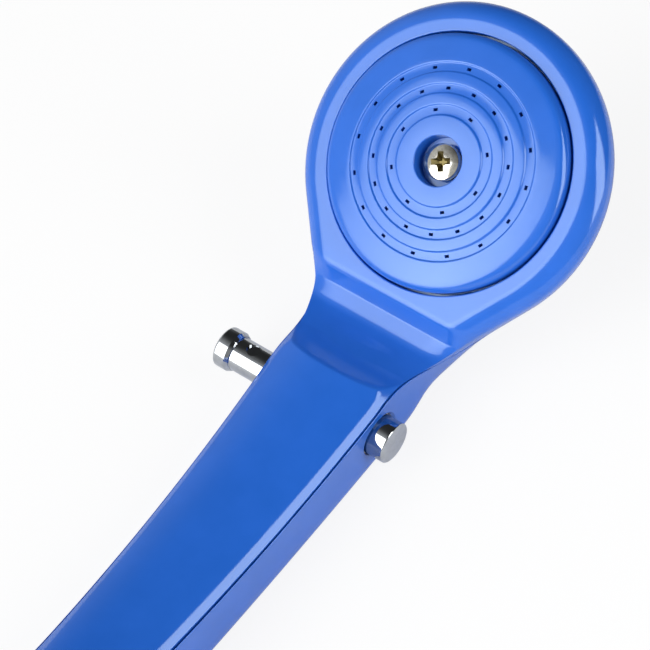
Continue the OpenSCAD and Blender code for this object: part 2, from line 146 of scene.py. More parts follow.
def rounded(corners: Sequence[Corner], segments: int = 5) -> list[tuple[float, float]]:
    """Rounds the corners of an open profile.

    Args:
        corners: Radius, height and corner rounding of each point, in order.
        segments: Segments of each rounding.

    Returns:
        The profile's points as radius and height.
    """
    points = [Vector((r, z)) for r, z, _ in corners]
    profile: list[tuple[float, float]] = []
    for i, (r, z, fillet) in enumerate(corners):
        if fillet <= 0 or i in (0, len(corners) - 1):
            profile.append((r, z))
            continue
        back = (points[i - 1] - points[i]).normalized()
        ahead = (points[i + 1] - points[i]).normalized()
        half = math.acos(max(-1.0, min(1.0, back.dot(ahead)))) / 2
        tangent = fillet / math.tan(half)
        centre = points[i] + (back + ahead).normalized() * (fillet / math.sin(half))
        start = points[i] + back * tangent - centre
        end = points[i] + ahead * tangent - centre
        turn = start.angle_signed(end)
        for k in range(segments + 1):
            spoke = start.copy()
            spoke.rotate(Matrix.Rotation(-turn * k / segments, 2))
            profile.append(tuple(centre + spoke))
    return profile


# ------------------------------------------------------------------------- mesh tools


def spread_grid(bm: Mesh, columns: int, rows: int,
                place: Callable[[int, int], Point]) -> None:
    """Spreads a flat grid over a surface.

    Args:
        bm: Mesh that gets the grid.
        columns: Number of cells across.
        rows: Number of cells along.
        place: Gives the place of a grid point from its column and row.
    """
    made = bmesh.ops.create_grid(bm, x_segments=columns, y_segments=rows, size=1.0)
    for vert in made["verts"]:
        i = round((vert.co.x + 1) / 2 * columns)
        j = round((vert.co.y + 1) / 2 * rows)
        vert.co = place(i, j)


def mirror_halves(bm: Mesh) -> None:
    """Adds the left half to a right half and welds them in the middle plane.

    Args:
        bm: Mesh with the right half.
    """
    geom = bm.verts[:] + bm.edges[:] + bm.faces[:]
    bmesh.ops.mirror(bm, geom=geom, matrix=Matrix.Identity(4), merge_dist=WELD, axis="X")
    bmesh.ops.remove_doubles(bm, verts=bm.verts, dist=WELD / 2)
    bmesh.ops.dissolve_degenerate(bm, dist=WELD / 10, edges=bm.edges)


def turned(profile: Iterable[tuple[float, float]], steps: int,
           place: Matrix | None = None) -> Mesh:
    """Turns a profile of radius and height about the Z axis into a closed body.

    Args:
        profile: Points as radius and height, from the axis back to the axis.
        steps: Number of steps of the full turn.
        place: Where the body goes, if not where it is turned.

    Returns:
        The mesh of the body.
    """
    bm = bmesh.new()
    verts = [bm.verts.new((r, 0, z)) for r, z in profile]
    edges = [bm.edges.new(pair) for pair in zip(verts, verts[1:])]
    bmesh.ops.spin(bm, geom=verts + edges, cent=(0, 0, 0), axis=(0, 0, 1), dvec=(0, 0, 0),
                   angle=math.tau, steps=steps, use_merge=True)
    bmesh.ops.remove_doubles(bm, verts=bm.verts, dist=WELD)
    bmesh.ops.recalc_face_normals(bm, faces=bm.faces)
    bmesh.ops.transform(bm, matrix=place or Matrix(), verts=bm.verts)
    return bm


def grow_edges(bm: Mesh, edges: Iterable[bmesh.types.BMEdge]) -> tuple[list, set]:
    """Extrudes edges in place.

    Args:
        bm: Mesh that has the edges.
        edges: Edges to extrude.

    Returns:
        The new edges and their points.
    """
    grown = bmesh.ops.extrude_edge_only(bm, edges=edges)["geom"]
    edges = [g for g in grown if isinstance(g, bmesh.types.BMEdge)]
    return edges, {v for e in edges for v in e.verts}


def bake(bm: Mesh, name: str) -> Thing:
    """Turns a working mesh into an object in the scene and frees it.

    Args:
        bm: Working mesh.
        name: Name of the object and of its mesh.

    Returns:
        The new object.
    """
    mesh = bpy.data.meshes.new(name)
    bm.to_mesh(mesh)
    bm.free()
    thing = bpy.data.objects.new(name, mesh)
    bpy.context.scene.collection.objects.link(thing)
    return thing


def carve(target: Thing, cutter: Thing) -> None:
    """Cuts one object's space out of another, leaving the cutter's finish if it has one.

    Args:
        target: Object that is cut.
        cutter: Closed object whose space is taken away.
    """
    cut = target.modifiers.new("Cut", "BOOLEAN")
    cut.operation = "DIFFERENCE"
    cut.solver = "EXACT"
    cut.object = cutter
    cut.material_mode = "TRANSFER" if len(cutter.data.materials) else "INDEX"
    bpy.context.view_layer.update()
    graph = bpy.context.evaluated_depsgraph_get()
    result = bpy.data.meshes.new_from_object(target.evaluated_get(graph))
    target.modifiers.clear()
    target.data = result
    bpy.data.objects.remove(cutter)


# ------------------------------------------------------------------------- materials


def linear(code: str) -> tuple[float, float, float, float]:
    """Turns an sRGB hex code into a linear colour.

    Args:
        code: Colour as a hash sign and six hex digits.

    Returns:
        Linear red, green and blue, and an alpha of 1.
    """
    def channel(value: float) -> float:
        """Returns one channel without its gamma."""
        return value / 12.92 if value <= 0.04045 else ((value + 0.055) / 1.055) ** 2.4

    parts = [int(code[i:i + 2], 16) / 255 for i in (1, 3, 5)]
    return (channel(parts[0]), channel(parts[1]), channel(parts[2]), 1.0)


def per_mm(size: float) -> float:
    """Returns the texture scale at which one feature is size millimetres wide."""
    return 1.0 / (size * MM)


def add_node(tree: Tree, kind: str, settings: dict[str | int, Any] | None = None,
             links: dict[str | int, Socket] | None = None) -> bpy.types.Node:
    """Adds a shader node with its settings and links.

    Args:
        tree: Node tree that gets the node.
        kind: Blender's name of the node type, without its leading ShaderNode.
        settings: Values by an input's name or number, or by a property's name.
        links: Output sockets by the name or number of the input that they feed.

    Returns:
        The new node.
    """
    node = tree.nodes.new("ShaderNode" + kind)
    for name, value in (settings or {}).items():
        if isinstance(name, int) or name in node.inputs:
            node.inputs[name].default_value = value
        else:
            setattr(node, name, value)
    for name, socket in (links or {}).items():
        tree.links.new(socket, node.inputs[name])
    return node


class Skin:
    """A material under construction, with patterns that lie fixed on the piece."""

    def __init__(self, name: str) -> None:
        """Starts the material.

        Args:
            name: Name of the material.
        """
        self.material = bpy.data.materials.new(name)
        self.material.use_nodes = True
        self.tree = self.material.node_tree
        self.tree.nodes.clear()
        self.shader = add_node(self.tree, "BsdfPrincipled")
        self.output = add_node(self.tree, "OutputMaterial",
                               links={"Surface": self.shader.outputs["BSDF"]})
        self.place = add_node(self.tree, "TexCoord").outputs["Object"]

    def noise(self, size: float, detail: float, place: Socket | None = None,
              **more: float) -> Socket:
        """Adds a noise pattern.

        Args:
            size: Width of one feature in millimetres.
            detail: Number of finer layers.
            place: Coordinates, if not the piece's own.
            more: Further inputs of the pattern by name.

        Returns:
            The pattern's output.
        """
        return add_node(self.tree, "TexNoise",
                        {"Scale": per_mm(size), "Detail": detail, **more},
                        {"Vector": place or self.place}).outputs["Fac"]

    def gloss(self, pattern: Socket, low: float, high: float,
              roughness: tuple[float, float]) -> None:
        """Lets a pattern vary the roughness.

        Args:
            pattern: Output of the pattern.
            low: Pattern value that gets the first roughness.
            high: Pattern value that gets the second roughness.
            roughness: Roughness at the two values.
        """
        spread = add_node(self.tree, "MapRange",
                          {"From Min": low, "From Max": high, "To Min": roughness[0],
                           "To Max": roughness[1]}, {"Value": pattern})
        self.tree.links.new(spread.outputs["Result"], self.shader.inputs["Roughness"])

    def bump(self, height: Socket, strength: float, depth: float,
             below: Socket | None = None) -> Socket:
        """Bends the surface by a pattern.

        Args:
            height: Pattern that gives the height.
            strength: Share of the bend that shows.
            depth: Depth of the pattern in millimetres.
            below: Bend that this one lies on.

        Returns:
            The bend's output.
        """
        links = {"Height": height} | ({} if below is None else {"Normal": below})
        bend = add_node(self.tree, "Bump", {"Strength": strength, "Distance": depth * MM},
                        links).outputs["Normal"]
        self.tree.links.new(bend, self.shader.inputs["Normal"])
        return bend

    def colour(self, pattern: Socket, low: str, high: str, start: float = 0.35,
               end: float = 0.65) -> None:
        """Turns a pattern into a change between two colours.

        Args:
            pattern: Output of the pattern.
            low: Hex colour where the pattern is low.
            high: Hex colour where the pattern is high.
            start: Pattern value where the change starts.
            end: Pattern value where the change ends.
        """
        ramp = add_node(self.tree, "ValToRGB", links={"Fac": pattern})
        for stop, place, code in zip(ramp.color_ramp.elements, (start, end), (low, high)):
            stop.position, stop.color = place, linear(code)
        self.tree.links.new(ramp.outputs["Color"], self.shader.inputs["Base Color"])


@dataclass(frozen=True)
class GlossAbs:
    """Blue ABS, injection moulded against a polished tool.

    The eye sees a saturated even blue with sharp reflections that ripple a little, as
    moulded skins do, and fine rubbing marks that only soften the gloss.
    """

    name: str = "Moulded_gloss_ABS_blue"
    deep: str = "#2360C2"
    light: str = "#2663C7"
    sheen_of_light: str = "#DDF0FB"
    ior: float = 1.66
    roughness: tuple[float, float] = (0.1, 0.19)
    ripple: float = 3.2
    grain: float = 0.35
    mottle: float = 9.0
    rub_length: float = 2.4

    def make(self) -> Material:
        """Builds the material.

        Returns:
            The finished material.
        """
        skin = Skin(self.name)
        skin.shader.inputs["IOR"].default_value = self.ior
        skin.shader.inputs["Specular Tint"].default_value = linear(self.sheen_of_light)
        skin.colour(skin.noise(self.mottle, 3.0, Roughness=0.55), self.deep, self.light)
        rub = skin.noise(self.rub_length, 6.0, Roughness=0.7, Distortion=0.6)
        skin.gloss(rub, 0.35, 0.8, self.roughness)
        fine = skin.bump(skin.noise(self.grain, 2.0), strength=0.12, depth=0.02)
        skin.bump(skin.noise(self.ripple, 1.0), strength=0.25, depth=0.04, below=fine)
        return skin.material


@dataclass(frozen=True)
class PolishedMetal:
    """Plated or turned metal with a polished face.

    The eye sees clear reflections, drawn out a little across the fine turning lines, and
    faint smears where it is handled.
    """

    name: str
    base: str
    smear: str
    roughness: tuple[float, float]
    line: float
    line_depth: float
    blot: float = 1.6

    def make(self) -> Material:
        """Builds the material.

        Returns:
            The finished material.
        """
        skin = Skin(self.name)
        skin.shader.inputs["Metallic"].default_value = 1.0
        blots = skin.noise(self.blot, 4.0, Roughness=0.6)
        skin.colour(blots, self.smear, self.base, 0.3, 0.55)
        skin.gloss(blots, 0.3, 0.75, self.roughness)
        stretch = add_node(skin.tree, "Mapping", {"Scale": (1.0, 0.12, 0.12)},
                           {"Vector": skin.place}).outputs["Vector"]
        skin.bump(skin.noise(self.line, 2.0, stretch), strength=0.2, depth=self.line_depth)
        return skin.material


@dataclass(frozen=True)
class DullPolymer:
    """Plain moulded polymer or rubber with a matt skin.

    The eye sees an even soft shade with a fine grain and slightly cloudy gloss.
    """

    name: str
    dark: str
    light: str
    ior: float
    roughness: tuple[float, float]
    grain: float

    def make(self) -> Material:
        """Builds the material.

        Returns:
            The finished material.
        """
        skin = Skin(self.name)
        skin.shader.inputs["IOR"].default_value = self.ior
        cloud = skin.noise(self.grain * 12, 4.0)
        skin.colour(cloud, self.dark, self.light)
        skin.gloss(cloud, 0.3, 0.7, self.roughness)
        skin.bump(skin.noise(self.grain, 3.0), strength=0.3, depth=0.03)
        return skin.material


def make_finishes() -> dict[Slot, Material]:
    """Makes every finish of the sprayer.

    Returns:
        The material of each slot.
    """
    return {
        Slot.BLUE_ABS: GlossAbs().make(),
        Slot.CHROME: PolishedMetal("Polished_chrome_plate", "#B6B9BC", "#A9ACAF",
                                   (0.03, 0.08), 0.12, 0.003).make(),
        Slot.NICKEL: PolishedMetal("Nickel_plated_steel", "#D3D0C6", "#B9B4A6",
                                   (0.08, 0.2), 0.1, 0.006, 0.7).make(),
        Slot.BRASS: PolishedMetal("Turned_brass", "#D2AE5C", "#B08C40", (0.18, 0.32),
                                  0.15, 0.01).make(),
        Slot.ACETAL: DullPolymer("Moulded_acetal_white", "#DEDBD0", "#E9E7DF", 1.48,
                                 (0.35, 0.5), 0.3).make(),
        Slot.RUBBER: DullPolymer("Nitrile_rubber_black", "#0F1422", "#192034", 1.5,
                                 (0.6, 0.75), 0.2).make(),
    }


# ------------------------------------------------------------------------- placing


@dataclass(frozen=True)
class RestingPlace:
    """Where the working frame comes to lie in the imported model's frame."""

    tilt: float = 33.7
    shift_y: float = 63.553
    shift_z: float = 41.602

    def matrix(self) -> Matrix:
        """Works out where the working frame comes to lie.

        Returns:
            The matrix from working millimetres to the model's metres.
        """
        turn = Matrix.Rotation(math.radians(self.tilt), 4, "X")
        shift = Matrix.Translation((0, self.shift_y, self.shift_z))
        return Matrix.Scale(MM, 4) @ shift @ turn


@dataclass
class Workshop:
    """Turns working meshes into finished pieces of the model."""

    finishes: dict[Slot, Material] = field(default_factory=make_finishes)
    place: Matrix = field(default_factory=lambda: RestingPlace().matrix())

    def finish(self, thing: Thing, body: Body, slot: Slot, *nodes: str,
               sharp: float = 32.0) -> None:
        """Places, dresses and attaches a piece to its body, hiding the nodes that it stands
        for.

        Args:
            thing: Object with its mesh in the working frame, perhaps with materials.
            body: Body that the piece rides on.
            slot: Material slot of the record that it takes its finish from.
            nodes: CAD nodes that it stands for.
            sharp: Angle in degrees from which an edge shows as an edge.
        """
        thing.data.transform(self.place)
        if not thing.data.materials:
            thing.data.materials.append(self.finishes[slot])
        thing.data.polygons.foreach_set("use_smooth", [True] * len(thing.data.polygons))
        thing.data.set_sharp_from_angle(angle=math.radians(sharp))
        thing.data.update()
        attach(thing, body.value)
        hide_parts(*nodes)
        LOG.info("%s: %d faces", thing.name, len(thing.data.polygons))


# ------------------------------------------------------------------------- sprayer form


@dataclass(frozen=True)
class Station:
    """A place along the sprayer's outline.

    Round the front half of the head the bearing turns about the middle; from there on y
    runs down to the end of the handle.
    """

    bearing: float
    y: float

    def spot(self, radius: float, z: float) -> Point:
        """Returns the point at a radius from the middle plane or the head's middle."""
        angle = math.radians(self.bearing)
        return (radius * math.cos(angle), radius * math.sin(angle) + self.y, z)


@dataclass
class SprayerForm:
    """Outer form of head, neck and handle."""

    head_r: float = 35.9
    head_waist: float = 4.3
    rim_round: float = 4.7
    dome_depth: float = 13.5
    dome_power: float = 2.4
    neck_angle: float = 34.6
    neck_end: float = -35.5
    neck_corner_r: float = 25.0
    taper_angle: float = 2.65
    neck_sway: float = 0.4
    sway_y: float = -43.5
    sway_l: float = 23.0
    end_flare: float = 1.6
    flare_y: float = -121.0
    flare_l: float = 14.0
    front_start_z: float = 17.5
    front_slope: float = 29.2
    front_curve_r: float = 292.0
    front_curve_y: float = -62.0
    front_sink: float = 0.6
    front_crown: float = 3.1
    crown_power: float = 2.4
    front_edge_drop: float = 4.65
    bevel_slope: float = 48.0
    bevel_w: float = 1.57
    bevel_lead: float = 0.22
    bevel_trail: float = 0.28
    bevel_crease: float = 0.3
    waist_mix_start: float = -36.0
    waist_mix_l: float = 16.0
    waist_mix_power: float = 1.25
    knee_y: float = -31.0
    knee_r: float = 53.0
    knee_end_slope: float = 31.3
    back_curve_r: float = 836.0
    handle_round: float = 5.0
    handle_power: float = 10.0
    edge_power: float = 1.78
    hollow_start: float = -31.3
    hollow_depth: float = 3.0
    hollow_step: float = 3.9
    hollow_floor: float = 4.2
    scoop_lift: float = 0.3
    scoop_r: float = 24.2
    scoop_slope: float = 32.0
    scoop_wall_slope: float = 10.0
    hollow_round: float = 5.2
    hollow_crown: float = 0.5
    hollow_bevel_y: float = -41.0
    rim_edge: float = 0.8
    floor_edge: float = 0.12
    scoop_edge: float = 0.6
    crest_edge: float = 1.1
    seam_drop_head: float = 3.5
    seam_drop_handle: float = 0.12
    slot_starts: tuple[float, float] = (0.02, 0.16)
    slot_ends: tuple[float, float] = (0.04, 0.46)
    slot_widening: float = 0.14
    slot_depth: float = 1.0
    way_angle: float = 36.0
    valve_y: float = -58.7
    valve_z: float = 2.63
    handle_l: float = 95.0
    crest_share: float = 0.35
    least_slope: float = 0.05
    bevel_shares: tuple[float, float] = (0.4, 0.65)
    turn_step: float = 2.5
    row_spans: tuple[tuple[float, int], ...] = (
        (-31.0, 8), (-32.0, 84), (-53.0, 18), (-62.0, 58), (-150.0, 0))

    def __post_init__(self) -> None:
        """Works out where the outline changes."""
        neck, taper = math.radians(self.neck_angle), math.radians(self.taper_angle)
        self.tangent_y = -self.head_r * math.sin(neck)
        self.tangent_x = self.head_r * math.cos(neck)
        self.corner_x = self.tangent_x - (self.tangent_y - self.neck_end) * math.tan(neck)
        self.corner_end = self.neck_end - self.neck_corner_r * (
            math.sin(neck) - math.sin(taper))
        self.handle_x = self.corner_x - self.neck_corner_r * (
            math.cos(taper) - math.cos(neck))
        self.knee_l = self.knee_r * math.sin(math.radians(self.knee_end_slope))
        self.back_z0 = -self.head_waist - self.dome_depth
        self.floor_y = self.hollow_start - self.hollow_step
        self.scoop_y = self.floor_y - self.hollow_floor

    def outline_angle(self, y: float) -> float:
        """Finds the angle between the outline and the Y axis.

        Args:
            y: Place along the sprayer.

        Returns:
            The angle in radians.
        """
        neck = math.radians(self.neck_angle)
        if y > self.tangent_y:
            return math.asin(-y / self.head_r)
        if y > self.neck_end:
            return neck
        if y > self.corner_end:
            return math.asin(math.sin(neck) - (self.neck_end - y) / self.neck_corner_r)
        return math.radians(self.taper_angle)

    def half_width(self, y: float) -> float:
        """Finds the half width of head, neck or handle.

        Args:
            y: Place along the sprayer.

        Returns:
            The distance from the middle plane to the outline.
        """
        neck, taper = math.radians(self.neck_angle), math.radians(self.taper_angle)
        if y > self.tangent_y:
            return math.sqrt(self.head_r ** 2 - y * y)
        if y > self.neck_end:
            width = self.tangent_x - (self.tangent_y - y) * math.tan(neck)
        elif y > self.corner_end:
            width = self.corner_x - self.neck_corner_r * (
                math.cos(self.outline_angle(y)) - math.cos(neck))
        else:
            width = (self.handle_x - (self.corner_end - y) * math.tan(taper)
                     + self.end_flare * past(y, self.flare_y, self.flare_l))
        return width + self.sway(y)

    def sway(self, y: float) -> float:
        """Returns how far the outline swings out above the neck's corner and in below it."""
        turn = math.pi * max(-0.5, min(0.5, (y - self.sway_y) / self.sway_l))
        return self.neck_sway * math.sin(2 * turn) * math.cos(turn)

    def handle_front(self, y: float) -> float:
        """Returns the height of the handle's front at y."""
        return self.front_start_z + arc_rise(self.front_curve_y - y, self.front_slope,
                                             self.front_curve_r)

    def hollow(self, y: float) -> float:
        """Finds the height of the thumb hollow's surface.

        Args:
            y: Place along the sprayer.

        Returns:
            The height of its step, floor or scoop, whichever is highest.
        """
        step = -self.hollow_depth * (self.hollow_start - y) / self.hollow_step
        floor = (-self.hollow_depth
                 + self.scoop_lift * (self.floor_y - y) / self.hollow_floor)
        run = self.scoop_y - y
        full = self.scoop_r * (1 - math.sin(math.radians(self.scoop_slope)))
        if run < 0:
            scoop = run * math.tan(math.radians(self.scoop_slope))
        else:
            beyond = max(0.0, run - full)
            scoop = arc_rise(min(run, full), self.scoop_slope, self.scoop_r)
            scoop += self.scoop_wall_slope * beyond
        low = soft_max(step, floor, self.floor_edge)
        return soft_max(low, scoop - self.hollow_depth + self.scoop_lift, self.scoop_edge)

    def waist_z(self, y: float) -> float:
        """Finds the height of the widest line.

        Args:
            y: Place along the sprayer.

        Returns:
            The height, which runs from the head's waist to the handle's front edge.
        """
        turned = max(0.0, min(1.0, (self.waist_mix_start - y) / self.waist_mix_l))
        return mix(-self.head_waist, self.handle_front(y) - self.front_edge_drop,
                   math.sin(math.pi / 2 * turned) ** self.waist_mix_power)

    def back_z(self, y: float) -> float:
        """Finds the height of the back in the middle plane.

        Args:
            y: Place along the sprayer.

        Returns:
            The height, which rises from the knee on.
        """
        if y > self.knee_y:
            return self.back_z0
        if y > self.knee_y - self.knee_l:
            return self.back_z0 + arc_rise(self.knee_y - y, 0, self.knee_r)
        return (self.back_z0 + arc_rise(self.knee_l, 0, self.knee_r)
                + arc_rise(self.knee_y - self.knee_l - y, self.knee_end_slope,
                           self.back_curve_r))

    def handleness(self, y: float) -> float:
        """Returns how far the section has turned from head to handle."""
        return past(y, start=-20, run=30)

    def power(self, y: float) -> float:
        """Returns the squareness of the section's back corners."""
        return mix(self.dome_power, self.handle_power, self.handleness(y + 8))

    def seam_drop(self, y: float) -> float:
        """Returns how far the seam lies below the widest line."""
        return mix(self.seam_drop_head, self.seam_drop_handle,
                   past(y, start=-30, run=18))

    def openness(self, y: float) -> float:
        """Returns 1 on the handle, where the seam is a slot, and 0 on the welded head."""
        return past(y, start=-39, run=8)

    def slot_outer(self, y: float) -> float:
        """Returns how far in from the outline the seam's slot starts."""
        return mix(*self.slot_starts, self.openness(y))

    def slot_inner(self, y: float) -> float:
        """Returns how far in the slot ends, where the front shell's wall stands."""
        wider = self.slot_widening * past(y, start=-80, run=40)
        return mix(*self.slot_ends, self.openness(y)) + wider

    def body_round(self, y: float) -> float:
        """Returns the width of the front's edge rounding."""
        return mix(self.rim_round, self.handle_round, self.handleness(y))

    def hollow_end_round(self, y: float) -> float:
        """Returns the width of the rounding at the hollow's two ends."""
        return mix(self.body_round(y), self.hollow_round,
                   past(y, self.hollow_start, run=5.5))

    def edge_z(self, top: float, bottom: float, width: float, inset: float) -> float:
        """Returns the height of a rounded edge at a distance in from the outline."""
        share, n = max(0.0, 1 - inset / width), self.edge_power
        return bottom + (top - bottom) * max(0.0, 1 - share ** n) ** (1 / n)

    def front_z(self, y: float, inset: float) -> float:
        """Finds the height of the front.

        Args:
            y: Place along the sprayer.
            inset: Distance in from the outline.

        Returns:
            The height of the rim, the hollow or the handle there.
        """
        low = self.waist_z(y)
        width = self.body_round(y)
        rim = self.edge_z(0.0, low, width, inset)
        cut = mix(self.edge_z(self.hollow(y), low, self.hollow_end_round(y), inset),
                  self.bevelled(y, inset, self.hollow(y), self.hollow_crown),
                  past(y, self.hollow_bevel_y, run=3))
        if y > self.hollow_start + 1:
            return rim
        if y > self.hollow_start - 1:
            cut = soft_min(rim, cut, self.rim_edge)
        if y > self.hollow_start:
            return cut
        top = self.handle_front(y)
        sink = self.front_sink * (1 - past(y, start=-108, run=20))
        body = mix(self.edge_z(top, low, width, inset),
                   self.bevelled(y, inset, top - sink, self.front_crown),
                   self.handleness(y - 3))
        blend = min(self.crest_edge, self.crest_share * (body - low) + HAIR)
        return soft_min(body, cut, blend)

    def bevelled(self, y: float, inset: float, top: float, crown: float) -> float:
        """Finds the height of a crowned surface with a bevelled edge.

        Args:
            y: Place along the sprayer.
            inset: Distance in from the outline.
            top: Height of the surface in the middle.
            crown: How much lower the surface is at the outline.

        Returns:
            The height at that distance.
        """
        low = self.waist_z(y)
        across = max(0.0, 1 - inset / (self.half_width(y) * math.cos(self.outline_angle(y))))
        bevel = low + inset * math.tan(math.radians(self.bevel_slope))
        skin = soft_min(top - crown * across ** self.crown_power, bevel, self.bevel_crease)
        return max(skin, low + self.least_slope * inset)

    def edge_inset(self, y: float, share: float) -> float:
        """Finds how far in a column of the rounded edge lies.

        Args:
            y: Place along the sprayer.
            share: 0 at the outline, 1 where the front's middle part starts.

        Returns:
            The distance in from the outline.
        """
        width, start = self.body_round(y), self.slot_inner(y)
        near, far = self.bevel_w - self.bevel_lead, self.bevel_w + self.bevel_trail
        arc = start + (width - start) * (1 - math.cos(math.radians(90 * share)))
        first, second = self.bevel_shares
        for place, here, there, ahead in ((0.0, start, near, first),
                                          (first, near, far, second),
                                          (second, far, width, 1.0)):
            if share < ahead or ahead == 1.0:
                cut = mix(here, there, (share - place) / (ahead - place))
                break
        return mix(arc, cut, self.handleness(y))

    def wall_reach(self, y: float, drop: float) -> float:
        """Finds the half width below the widest line.

        Args:
            y: Place along the sprayer.
            drop: Depth below the widest line.

        Returns:
            The half width at that depth.
        """
        depth = self.waist_z(y) - self.back_z(y)
        n = self.power(y)
        return self.half_width(y) * (1 - (drop / depth) ** n) ** (1 / n)

    def stations(self, bore: float) -> list[Station]:
        """Lists the stations from the head's tip to past the handle.

        Args:
            bore: Radius of the opening whose edge the rows of the head follow.

        Returns:
            The stations in order.
        """
        quarter = round(90 / self.turn_step)
        turns = [Station(90 - self.turn_step * k, 0.0) for k in range(quarter + 1)]
        rows = [-bore * math.sin(math.radians(self.turn_step * k))
                for k in range(1, quarter + 1)]
        spans = ((-bore, 6), *self.row_spans)
        for (start, count), (end, _) in zip(spans, spans[1:]):
            rows += [mix(start, end, k / count) for k in range(1, count + 1)]
        return turns + [Station(0.0, y) for y in rows]

    def to_hose(self) -> Matrix:
        """Returns the matrix that puts +Z along the waterway, towards the hose."""
        turn = Matrix.Rotation(math.radians(90 - self.way_angle), 4, "X")
        return Matrix.Translation((0, self.valve_y, self.valve_z)) @ turn

    def along_pin(self) -> Matrix:
        """Returns the matrix that puts +Z along the valve pin, towards +X."""
        turn = Matrix.Rotation(math.radians(90), 4, "Y")
        return Matrix.Translation((0, self.valve_y, self.valve_z)) @ turn


@dataclass
class Housings:
    """The two blue shells that make the head, neck and handle."""

    form: SprayerForm
    bore_r: float = 28.7
    bore_edge: float = 0.3
    chamber_floor: float = -4.5
    post_r: float = 4.6
    post_top: float = -1.6
    front_lip: float = 0.1
    slot_least: float = 0.03
    face_step: float = 0.2
    face_steps: int = 4
    lip_steps: int = 4
    wall_steps: int = 5
    round_steps: int = 20
    flat_steps: int = 16
    back_steps: int = 44
    end_round: float = 0.7
    pocket_r: float = 5.1
    pocket_edge: float = 0.35
    pocket_beyond: float = 3.0
    pocket_end: float = 20.0
    pocket_steps: int = 128
    edge_slack: float = 0.05

    def build(self, shop: Workshop) -> None:
        """Builds and dresses both housings.

        Args:
            shop: Workshop that dresses the pieces.
        """
        front = bake(self.front(), "Front_shell")
        shop.finish(front, Body.SPRAYER, Slot.BLUE_ABS, "front_housing")
        back = bake(self.back(), "Back_shell")
        carve(back, self.pocket_cutter())
        shop.finish(back, Body.SPRAYER, Slot.BLUE_ABS, "back_housing")

    def seam_point(self, station: Station, column: int, front: bool) -> Point:
        """Finds a point of a shell's seam, on its face or rounded lip.

        Args:
            station: Place along the outline.
            column: 0 in the middle plane, 1 at the slot's inner edge, 2 and 3 at the bottom
                of the slot in the back shell, then up the lip to the wall.
            front: Whether the seam is the front shell's, whose lip stands behind the slot.

        Returns:
            The point in the working frame.
        """
        form, y = self.form, station.y
        outer, inner = form.slot_outer(y), form.slot_inner(y)
        drop = form.seam_drop(y)
        z = form.waist_z(y) - drop
        reach = form.wall_reach(y, drop)
        left = self.face_steps - column
        if column == 0:
            return (0.0, station.spot(reach, z)[1], z)
        if left > 0 and front:
            return station.spot(reach - inner - self.face_step * left, z)
        if left > 0:
            if column > 1:
                z -= form.slot_depth * max(self.slot_least, form.openness(y))
            return station.spot(reach - (outer if left == 1 else inner), z)
        angle = math.radians(-90 * left / self.lip_steps)
        rise = outer * (1 - math.cos(angle))
        drop += -min(rise, self.front_lip) if front else rise
        inset = outer * (1 - math.sin(angle)) + (inner if front else 0.0)
        reach = form.wall_reach(y, drop) - inset / math.cos(form.outline_angle(y))
        return station.spot(reach, form.waist_z(y) - drop)

    def front(self) -> Mesh:
        """Makes the front shell: seam, wall, rounded edge, rim and chamber.

        Returns:
            The mesh of the shell.
        """
        form = self.form
        opening = self.bore_r + self.bore_edge
        stations = form.stations(opening)
        wall_at = self.face_steps + self.lip_steps
        round_at = wall_at + self.wall_steps
        flat_at = round_at + self.round_steps

        def place(i: int, j: int) -> Point:
            """Places one grid point.

            Args:
                i: Column, counted from the seam over the edge inwards.
                j: Row, which is the number of its station.

            Returns:
                The point in the working frame.
            """
            station = stations[j]
            y = station.y
            if i <= wall_at:
                return self.seam_point(station, i, True)
            width = form.body_round(y)
            slant = math.cos(form.outline_angle(y))
            if i <= round_at:
                start = form.slot_inner(y)
                low = (form.waist_z(y) - form.seam_drop(y)
                       + min(form.slot_outer(y), self.front_lip))
                z = mix(low, form.front_z(y, start), (i - wall_at) / self.wall_steps)
                reach = form.wall_reach(y, max(0.0, form.waist_z(y) - z))
                return station.spot(reach - start / slant, z)
            if i <= flat_at:
                inset = form.edge_inset(y, (i - round_at) / self.round_steps)
                return station.spot(form.half_width(y) - inset / slant,
                                    form.front_z(y, inset))
            outer = form.half_width(y) - width / slant
            inner = math.sqrt(max(0.0, opening ** 2 - y * y))
            reach = mix(outer, inner, (i - flat_at) / self.flat_steps)
            inset = (form.half_width(y) - reach) * slant
            return station.spot(reach, form.front_z(y, max(width, inset)))

        bm = self.shell(flat_at + self.flat_steps, len(stations) - 1, place)
        self.sink_chamber(bm, opening)
        bmesh.ops.recalc_face_normals(bm, faces=bm.faces)
        return bm

    def shell(self, columns: int, rows: int, place: Callable[[int, int], Point]) -> Mesh:
        """Makes a shell's skin, spread as a half and mirrored.

        Args:
            columns: Number of cells across.
            rows: Number of cells along.
            place: Gives the place of a grid point from its column and row.

        Returns:
            The mesh, closed at the handle's end.
        """
        bm = bmesh.new()
        spread_grid(bm, columns, rows, place)
        mirror_halves(bm)
        self.cut_end(bm)
        return bm

    def sink_chamber(self, bm: Mesh, opening: float) -> None:
        """Draws the opening's edge down into the spray chamber and up its middle post.

        Args:
            bm: Front shell with an open edge round the head's middle.
            opening: Radius of that open edge.
        """
        edges = [e for e in bm.edges if e.is_boundary
                 and all(abs(v.co.xy.length - opening) < self.edge_slack
                         and abs(v.co.z) < self.edge_slack for v in e.verts)]
        edge = self.bore_edge
        path = [(self.bore_r + edge * (1 - math.sin(math.radians(a))),
                 -edge * (1 - math.cos(math.radians(a)))) for a in (22, 45, 68, 90)]
        path += [(self.bore_r, self.chamber_floor), (self.post_r, self.chamber_floor),
                 (self.post_r, self.post_top)]
        for radius, z in path:
            edges, verts = grow_edges(bm, edges)
            for vert in verts:
                spoke = vert.co.xy.normalized() * radius
                vert.co = (spoke.x, spoke.y, z)
        bmesh.ops.edgeloop_fill(bm, edges=edges)

